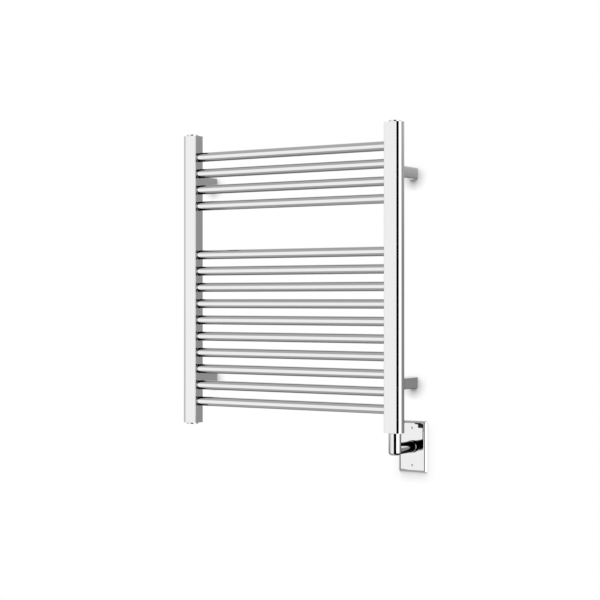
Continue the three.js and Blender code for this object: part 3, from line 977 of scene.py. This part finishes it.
# %% [markdown]
# The vent screw turns on its own, so it rides on a body of its own. Its slot is a thin block
# taken out of its top. An O-ring is a circle spun about the plug's axis.

# %% Vent screw and O-rings
VENT_SLOT_WIDTH = 1.0 * MM
VENT_SLOT_DEPTH = 1.2 * MM


def make_vent_screw(node):
    centre, half = middle(node), size_of(node).z / 2
    radius = size_of(node).x / 2
    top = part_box(node)[1].z
    bm = turned([(0, -half), (radius, -half), (radius, half), (0, half)],
                (0, 0.8 * MM, 0.35 * MM, 0), centre, corner_steps=3)
    piece = finish_mesh(bm, f"{node}_body", zinc)
    slot_size = (3 * radius, VENT_SLOT_WIDTH, 2 * VENT_SLOT_DEPTH)
    cut_away(piece, block(slot_size, (centre.x, centre.y, top)))
    return belongs(piece, "air_vent", "zinc_plating", node)


def make_o_ring(node):
    size, centre = size_of(node), middle(node)
    section = size.z / 2
    bm = bmesh.new()
    stand = Matrix.Translation((size.x / 2 - section, 0, 0)) @ Matrix.Rotation(math.pi / 2, 4, "X")
    bmesh.ops.create_circle(bm, segments=20, radius=section, matrix=stand)
    spin_round(bm, ROUND_STEPS)
    place(bm, centre)
    piece = finish_mesh(bm, f"{node}_ring", rubber, sharp=60)
    return belongs(piece, "rack", "black_rubber", node)


make_vent_plug("air_vent_plug")
make_vent_screw("air_vent_screw")
for node in ("top_right_plug", "bottom_left_plug"):
    make_blind_plug(node)
for node in ("air_vent_seal", "top_right_seal", "bottom_left_seal"):
    make_o_ring(node)
print("plugs and seals made")

# %% [markdown]
# ## Telescopic brackets
# A rectangular sleeve is welded to the back of the upright and slides over a boss that is
# screwed to the wall. A grub screw underneath locks it. The sleeve is a chain of outlines,
# bridged one after another: outside they flare out into the weld, and the last ones go back
# inside.

# %% Bracket sleeves
ARM_WALL = 2.0 * MM
ARM_EDGE = 2.0 * MM
ARM_CROWN = 0.2 * MM
BORE_EDGE = 0.6 * MM
WELD_LEG = 0.9 * MM
WELD_STEPS = 5
GRUB_HOLE = 2.5 * MM
CORNERS = [(level, side) for level in ("upper", "lower") for side in SIDES]


def along_y(centre):
    """Stands a piece drawn along +Z on the wall plane at a bracket, pointing into the room."""
    return Matrix.Translation((centre.x, 0, centre.z)) @ Matrix.Rotation(math.pi / 2, 4, "X")


def chain(loops):
    """Bridges each outline of a chain of (half width, half height, corner, height) to the next."""
    bm = bmesh.new()
    made = [outline(bm, hw, hh, (corner,) * 4, height, 8) for hw, hh, corner, height in loops]
    for first, second in zip(made, made[1:] + made[:1]):
        bmesh.ops.bridge_loops(bm, edges=first + second)
    return bm


def swell_sides(bm, half_height):
    """Lets the two upright sides swell a little, as those of a drawn tube do."""
    sides = [e for e in bm.edges if abs(e.verts[0].co.y - e.verts[1].co.y) > half_height]
    bmesh.ops.subdivide_edges(bm, edges=sides, cuts=9, use_grid_fill=True)
    for vert in bm.verts:
        swell = ARM_CROWN * max(1 - (vert.co.y / half_height) ** 2, 0)
        vert.co.x += math.copysign(swell, vert.co.x)


def make_sleeve(corner):
    node = f"{corner}_bracket_arm"
    low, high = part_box(node)
    size, centre = high - low, middle(node)
    hw, hh = size.x / 2, size.z / 2
    start = -high.y
    end = -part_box("left_upright")[1].y
    lip = 0.25 * MM
    loops = [(hw - lip, hh - lip, ARM_EDGE - lip, start), (hw, hh, ARM_EDGE, start + lip)]
    for step in range(WELD_STEPS + 1):
        turn = step / WELD_STEPS * math.pi / 2
        grown = WELD_LEG * (1 - math.cos(turn))
        loops.append((hw + grown, hh + grown, ARM_EDGE + grown, end - WELD_LEG * (1 - math.sin(turn))))
    bore = (hw - ARM_WALL, hh - ARM_WALL, BORE_EDGE)
    loops += [(*bore, end), (*bore, start + lip), (bore[0] + lip, bore[1] + lip, BORE_EDGE + lip, start)]
    bm = chain(loops)
    swell_sides(bm, hh)
    bmesh.ops.transform(bm, matrix=along_y(centre), verts=bm.verts)
    piece = finish_mesh(bm, f"{corner}_sleeve", chrome_upright)
    grub = middle(f"{corner}_grub_screw")
    under = Vector((grub.x, grub.y, low.z))
    cut_away(piece, cylinder(GRUB_HOLE, -ARM_WALL, 1.5 * ARM_WALL, under, steps=32))
    even_normals(piece)
    return belongs(piece, "rack", "polished_chrome", node)


print("sleeve wall:", round(ARM_WALL / MM, 1), "mm")

# %% [markdown]
# The boss is a milled block with broken edges, a hole for its wall screw and a groove that the
# grub screw bears in. It stays on the wall while the sleeve slides over it, so the groove is
# longer than wide by the travel of that joint. The grub screw rides with the sleeve.

# %% Bosses and grub screws
BOSS_EDGE = 0.6 * MM
WALL_SCREW_HOLE = 2.75 * MM
COUNTERBORE = 5.5 * MM
COUNTERBORE_DEPTH = 4 * MM
GROOVE_WIDTH = 5.2 * MM
GROOVE_DEPTH = 2.5 * MM
GRUB_SOCKET = 1.45 * MM
GRUB_SOCKET_DEPTH = 1.8 * MM


def make_boss(corner):
    node = f"{corner}_wall_boss"
    low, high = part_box(node)
    size, centre = high - low, middle(node)
    bm = block(size, centre)
    bmesh.ops.bevel(bm, geom=bm.edges[:], offset=BOSS_EDGE, segments=2, profile=0.5,
                    affect="EDGES", material=-1)
    piece = finish_mesh(bm, f"{corner}_boss_block", zinc)
    grub = middle(f"{corner}_grub_screw")
    travel = frame["joints"][0]["range_m"][1]
    groove = block((GROOVE_WIDTH, travel + GROOVE_WIDTH, 2 * GROOVE_DEPTH),
                   (grub.x, grub.y - travel / 2, low.z))
    front = Vector((centre.x, low.y, centre.z))
    hole = cylinder(WALL_SCREW_HOLE, -CUT_MARGIN, size.y + CUT_MARGIN, front, "Y")
    counterbore = cylinder(COUNTERBORE, -CUT_MARGIN, COUNTERBORE_DEPTH, front, "Y")
    cut_away(piece, hole, counterbore, groove)
    even_normals(piece)
    return belongs(piece, "wall_fixings", "zinc_plating", node)


def make_grub(corner):
    node = f"{corner}_grub_screw"
    size, centre = size_of(node), middle(node)
    radius, half = size.x / 2, size.z / 2
    bm = turned([(0, -half), (radius, -half), (radius, half), (0.5 * radius, half), (0, half)],
                (0, 0.4 * MM, 0.3 * MM, 0, 0), centre, steps=48, corner_steps=3)
    piece = finish_mesh(bm, f"{corner}_grub_body", dark_steel)
    socket = cylinder(GRUB_SOCKET, -half - CUT_MARGIN, -half + GRUB_SOCKET_DEPTH, centre, steps=6)
    cut_away(piece, socket)
    return belongs(piece, "rack", "dark_steel", node)


for level, side in CORNERS:
    corner = f"{level}_{side}"
    make_sleeve(corner)
    make_boss(corner)
    make_grub(corner)
print("brackets made:", len(CORNERS))

# %% [markdown]
# ## Outlet
# Under the right upright a round housing covers the element's head, and a pipe leaves the back
# of it for the wall. The housing is a turned cup whose floor turns up into its side with a wide
# round. The pipe's end is cut to the housing's back with the same cup, a hair larger.

# %% Housing and pipe
HOUSING_WALL = 1.5 * MM
HOUSING_ROUND = 7 * MM
HOUSING_PORT = 10 * MM
PIPE_WALL = 1.2 * MM
PIPE_JOINT = 0.05 * MM
HOUSING_SCREW_HOLE = 2.1 * MM


def cup(outer, inner, top, bottom, floor, round_out, centre):
    """A turned cup: radii and heights of its outside and inside, about a vertical axis."""
    lip = 0.3 * MM if inner else 0
    points = [(0, bottom), (outer, bottom), (outer, top), (inner, top), (inner, floor), (0, floor)]
    radii = (0, round_out, lip, lip, max(round_out - outer + inner, 0), 0)
    if not inner:
        points, radii = points[:3] + [(0, top)], radii[:3] + (0,)
    return turned(points, radii, Vector((centre.x, centre.y, 0)), corner_steps=16)


def make_housing():
    node = "outlet_housing"
    low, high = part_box(node)
    outer, centre = (high.x - low.x) / 2, middle(node)
    bm = cup(outer, outer - HOUSING_WALL, high.z, low.z, low.z + HOUSING_WALL, HOUSING_ROUND, centre)
    piece = finish_mesh(bm, "outlet_housing_cup", chrome_fitting)
    pipe = middle("conduit_pipe")
    port = cylinder(HOUSING_PORT, 0, 2 * outer, Vector((centre.x, centre.y, pipe.z)), "Y", 96)
    reach = 2 * HOUSING_WALL
    screw_hole = cylinder(HOUSING_SCREW_HOLE, -reach, reach, middle("outlet_housing_screw"), "Y", 32)
    cut_away(piece, port, screw_hole)
    even_normals(piece)
    return belongs(piece, "rack", "polished_chrome", node)


def make_pipe():
    node = "conduit_pipe"
    housing_low, housing_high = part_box("outlet_housing")
    low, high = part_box(node)
    centre, outer = middle(node), (high.x - low.x) / 2
    inner, start = outer - PIPE_WALL, middle("outlet_housing").y - centre.y
    bm = turned([(inner, start), (outer, start), (outer, high.y - centre.y), (inner, high.y - centre.y)],
                (0, 0, 0.3 * MM, 0.3 * MM), centre, "Y", closed=True, corner_steps=3)
    piece = finish_mesh(bm, "conduit_tube", chrome_fitting)
    reach = (housing_high.x - housing_low.x) / 2 + PIPE_JOINT
    envelope = cup(reach, 0, housing_high.z, housing_low.z - PIPE_JOINT, 0, HOUSING_ROUND,
                   middle("outlet_housing"))
    cut_away(piece, envelope)
    even_normals(piece)
    return belongs(piece, "rack", "polished_chrome", node)


print("housing wall:", round(HOUSING_WALL / MM, 1), "mm")

# %% [markdown]
# The collar is seated on the cover with a little room round the pipe, so it stays with the wall
# while the pipe slides through it. The housing is held by a small socket screw.

# %% Collar and housing screw
COLLAR_CLEARANCE = 0.12 * MM
HOUSING_SCREW_SOCKET = 1.15 * MM
HOUSING_SCREW_SOCKET_DEPTH = 1.2 * MM


def make_collar():
    node = "plate_collar"
    centre, size = middle(node), size_of(node)
    outer, half = size.x / 2, size.y / 2
    inner = size_of("conduit_pipe").x / 2 + COLLAR_CLEARANCE
    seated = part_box("wall_plate")[0].y
    end = seated - centre.y
    bm = turned([(inner, -half), (outer, -half), (outer, end), (inner, end)],
                (0.25 * MM, 0.9 * MM, 0.15 * MM, 0.1 * MM), centre, "Y", closed=True, corner_steps=5)
    return belongs(finish_mesh(bm, "collar_ring", chrome_fitting), "wall_fixings", "polished_chrome", node)


def make_housing_screw():
    node = "outlet_housing_screw"
    centre, size = middle(node), size_of(node)
    radius, half = size.x / 2, size.y / 2
    bm = turned([(0, -half), (radius, -half), (radius, half), (0, half)], (0, 0.2 * MM, 0.3 * MM, 0),
                centre, "Y", steps=48, corner_steps=3)
    piece = finish_mesh(bm, "housing_screw_body", dark_steel)
    socket_floor = half - HOUSING_SCREW_SOCKET_DEPTH
    cut_away(piece, cylinder(HOUSING_SCREW_SOCKET, socket_floor, half + CUT_MARGIN, centre, "Y", 6))
    return belongs(piece, "rack", "dark_steel", node)


for make in (make_housing, make_pipe, make_collar, make_housing_screw):
    print(make().name)

# %% [markdown]
# ## Wall cover
# The cover is pressed from sheet: a flat face with four sloping sides that turn back to the
# wall, hollow behind. It starts as a block whose front face is drawn in. The edges round the
# face are then rolled over with a wide round, as a press leaves them, and the same shape,
# smaller, is taken out of its back.

# %% Wall cover
PLATE_SLOPE = math.radians(50)
PLATE_ROUND = 5.7 * MM
PLATE_RIM = 0.4 * MM
PLATE_METAL = 1.6 * MM
PLATE_RETURN = 2.2 * MM
SCREW_HOLE = 2.0 * MM
PORT_CLEARANCE = 0.3 * MM


def pressed_block(half_width, half_height, depth, rolled, centre, sunk=0):
    """A block with sloping sides that stands on the wall plane and faces the room."""
    bm = bmesh.new()
    bmesh.ops.create_grid(bm, x_segments=1, y_segments=1, size=1.0)
    bmesh.ops.transform(bm, matrix=Matrix.Diagonal((half_width, half_height, 1, 1)), verts=bm.verts)
    bmesh.ops.translate(bm, verts=bm.verts, vec=(0, 0, -sunk))
    back = face = bm.faces[:]
    slope_run = (depth - PLATE_RIM) / math.tan(PLATE_SLOPE)
    for rise, draw in ((PLATE_RIM + sunk, 0), (depth - PLATE_RIM, slope_run)):
        pulled = bmesh.ops.extrude_face_region(bm, geom=face)["geom"]
        if face is not back:
            bmesh.ops.delete(bm, geom=[f for f in face if f.is_valid], context="FACES_ONLY")
        face = only(pulled, bmesh.types.BMFace)
        verts = face[0].verts[:]
        bmesh.ops.translate(bm, verts=verts, vec=(0, 0, rise))
        for vert in verts:
            vert.co.x -= math.copysign(draw, vert.co.x)
            vert.co.y -= math.copysign(draw, vert.co.y)
    if rolled:
        reach = PLATE_ROUND * math.tan(PLATE_SLOPE / 2)
        bmesh.ops.bevel(bm, geom=face[0].edges[:], offset=reach, offset_type="OFFSET", segments=12,
                        profile=0.5, affect="EDGES", material=-1)
    bmesh.ops.transform(bm, matrix=along_y(centre), verts=bm.verts)
    return bm


def make_plate():
    node = "wall_plate"
    size, centre = size_of(node), middle(node)
    hw, hh, depth = size.x / 2, size.z / 2, size.y
    piece = finish_mesh(pressed_block(hw, hh, depth, True, centre), "cover_plate", chrome_plate, sharp=40)
    hollow = pressed_block(hw - PLATE_RETURN, hh - PLATE_RETURN, depth - PLATE_METAL, False, centre,
                           CUT_MARGIN)
    port_radius = size_of("conduit_pipe").x / 2 + PORT_CLEARANCE
    port = cylinder(port_radius, -depth - CUT_MARGIN, CUT_MARGIN, Vector((centre.x, 0, centre.z)), "Y", 96)
    holes = [cylinder(SCREW_HOLE, -depth - CUT_MARGIN, CUT_MARGIN, Vector((screw.x, 0, screw.z)), "Y")
             for screw in (middle("upper_plate_screw"), middle("lower_plate_screw"))]
    cut_away(piece, hollow, port, *holes, sharp=40)
    even_normals(piece)
    return belongs(piece, "wall_fixings", "polished_chrome", node)


print(make_plate().name)

# %% [markdown]
# The cover's two screws have oval heads. A head is an arc of a sphere that rises from the
# cover's face, and a slot is cut across it.

# %% Cover screws
SHANK_RADIUS = 1.7 * MM
SLOT_WIDTH = 0.8 * MM
SLOT_DEPTH = 1.0 * MM
DOME_STEPS = 8


def make_plate_screw(level):
    """An oval head with a slot, seated in the cover, and a short plain shank."""
    node = f"{level}_plate_screw"
    low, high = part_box(node)
    centre = middle(node)
    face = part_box("wall_plate")[0].y
    radius = size_of(node).x / 2
    crown, seat = face - low.y - 0.05 * MM, 0.05 * MM
    dome = (radius ** 2 + crown ** 2) / (2 * crown)
    spread = math.asin(radius / dome)
    turns = [spread * step / DOME_STEPS for step in range(DOME_STEPS + 1)]
    cap = [(dome * math.sin(turn), face - seat - crown + dome * (1 - math.cos(turn))) for turn in turns]
    body = [(radius, face), (SHANK_RADIUS, face + 0.5 * MM), (SHANK_RADIUS, high.y), (0, high.y)]
    points = [(r, y - centre.y) for r, y in cap + body]
    radii = (0,) * (len(cap) + 2) + (0.3 * MM, 0)
    bm = turned(points, radii, centre, "Y", steps=64, corner_steps=3)
    piece = finish_mesh(bm, f"{level}_cover_screw", chrome_fitting, sharp=40)
    cut_away(piece, block((3 * radius, 2 * SLOT_DEPTH, SLOT_WIDTH), (centre.x, low.y, centre.z)))
    return belongs(piece, "wall_fixings", "polished_chrome", node)


for level in ("upper", "lower"):
    print(make_plate_screw(level).name)

# %% [markdown]
# ## Element and supply lead
# The element's head, rod and washer are inside the upright and the housing, where their CAD
# shapes are right and only need their finishes. The lead can be seen from the wall's side, in
# the open end of the pipe, so it is made again: a circle that is pulled down, swung through a
# quarter turn and pulled back, with its three cores standing out of the cut end.

# %% Element and lead
LEAD_BEND = 20 * MM
STRIP_LENGTH = 6 * MM


def dress(node, material):
    """Gives a CAD node that keeps its shape a better material."""
    mesh = frame["nodes"][node].data
    mesh.materials.clear()
    mesh.materials.append(material)


def make_lead():
    node = "supply_lead"
    low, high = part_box(node)
    radius = (high.x - low.x) / 2
    x, top, run = middle(node).x, high.z, low.z + radius
    back = low.y + radius
    bm = bmesh.new()
    bmesh.ops.create_circle(bm, segments=32, radius=radius, cap_ends=False,
                            matrix=Matrix.Translation((x, back, top)))
    edges = bm.edges[:]
    straight = bmesh.ops.extrude_edge_only(bm, edges=edges)["geom"]
    verts = only(straight, bmesh.types.BMVert)
    bmesh.ops.translate(bm, verts=verts, vec=(0, 0, run + LEAD_BEND - top))
    ring = only(straight, bmesh.types.BMEdge)
    swung = bmesh.ops.spin(bm, geom=verts + ring, cent=(x, back + LEAD_BEND, run + LEAD_BEND),
                           axis=(1, 0, 0), angle=math.pi / 2, steps=16)["geom_last"]
    ring = only(swung, bmesh.types.BMEdge)
    last = bmesh.ops.extrude_edge_only(bm, edges=ring)["geom"]
    verts = only(last, bmesh.types.BMVert)
    bmesh.ops.translate(bm, verts=verts, vec=(0, high.y - STRIP_LENGTH - verts[0].co.y, 0))
    bmesh.ops.holes_fill(bm, edges=bm.edges, sides=0)
    return belongs(finish_mesh(bm, "supply_lead_sheath", sheath), "rack", "lead_sheath", node)


dress("element_head", brass)
dress("element_rod", steel)
dress("element_washer", rubber)
print(make_lead().name)

# %% [markdown]
# The three cores stand in a ring round the lead's middle. Each is one turned profile whose
# thinner end is bare wire, so the faces near its tip get the copper finish.

# %% Cores of the lead
CORE_RADIUS = 0.75 * MM
CORE_RING = 1.25 * MM
CORE_START = -STRIP_LENGTH - 1 * MM
WIRE_RADIUS = 0.45 * MM
WIRE_START = -2.4 * MM
WIRE_END = -0.1 * MM


def make_core(name, material, turn):
    """One of the lead's three cores, standing out of the sheath's end, with bare wire at its tip."""
    low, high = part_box("supply_lead")
    run = low.z + (high.x - low.x) / 2
    across, up = CORE_RING * math.cos(turn), CORE_RING * math.sin(turn)
    centre = Vector((middle("supply_lead").x + across, high.y, run + up))
    bm = turned([(0, CORE_START), (CORE_RADIUS, CORE_START), (CORE_RADIUS, WIRE_START),
                 (WIRE_RADIUS, WIRE_START), (WIRE_RADIUS, WIRE_END), (0, WIRE_END)],
                (0, 0, 0.1 * MM, 0, 0.1 * MM, 0), centre, "Y", steps=24, corner_steps=2)
    piece = finish_mesh(bm, name, material)
    piece.data.materials.append(copper)
    for face in piece.data.polygons:
        if face.center.y > high.y - 2.5 * MM:
            face.material_index = 1
    return belongs(piece, "rack", "lead_sheath")


for index, (name, material) in enumerate((("core_line", core_black), ("core_neutral", core_white),
                                          ("core_earth", core_green))):
    make_core(name, material, math.radians(90 + 120 * index))
print("cores made")
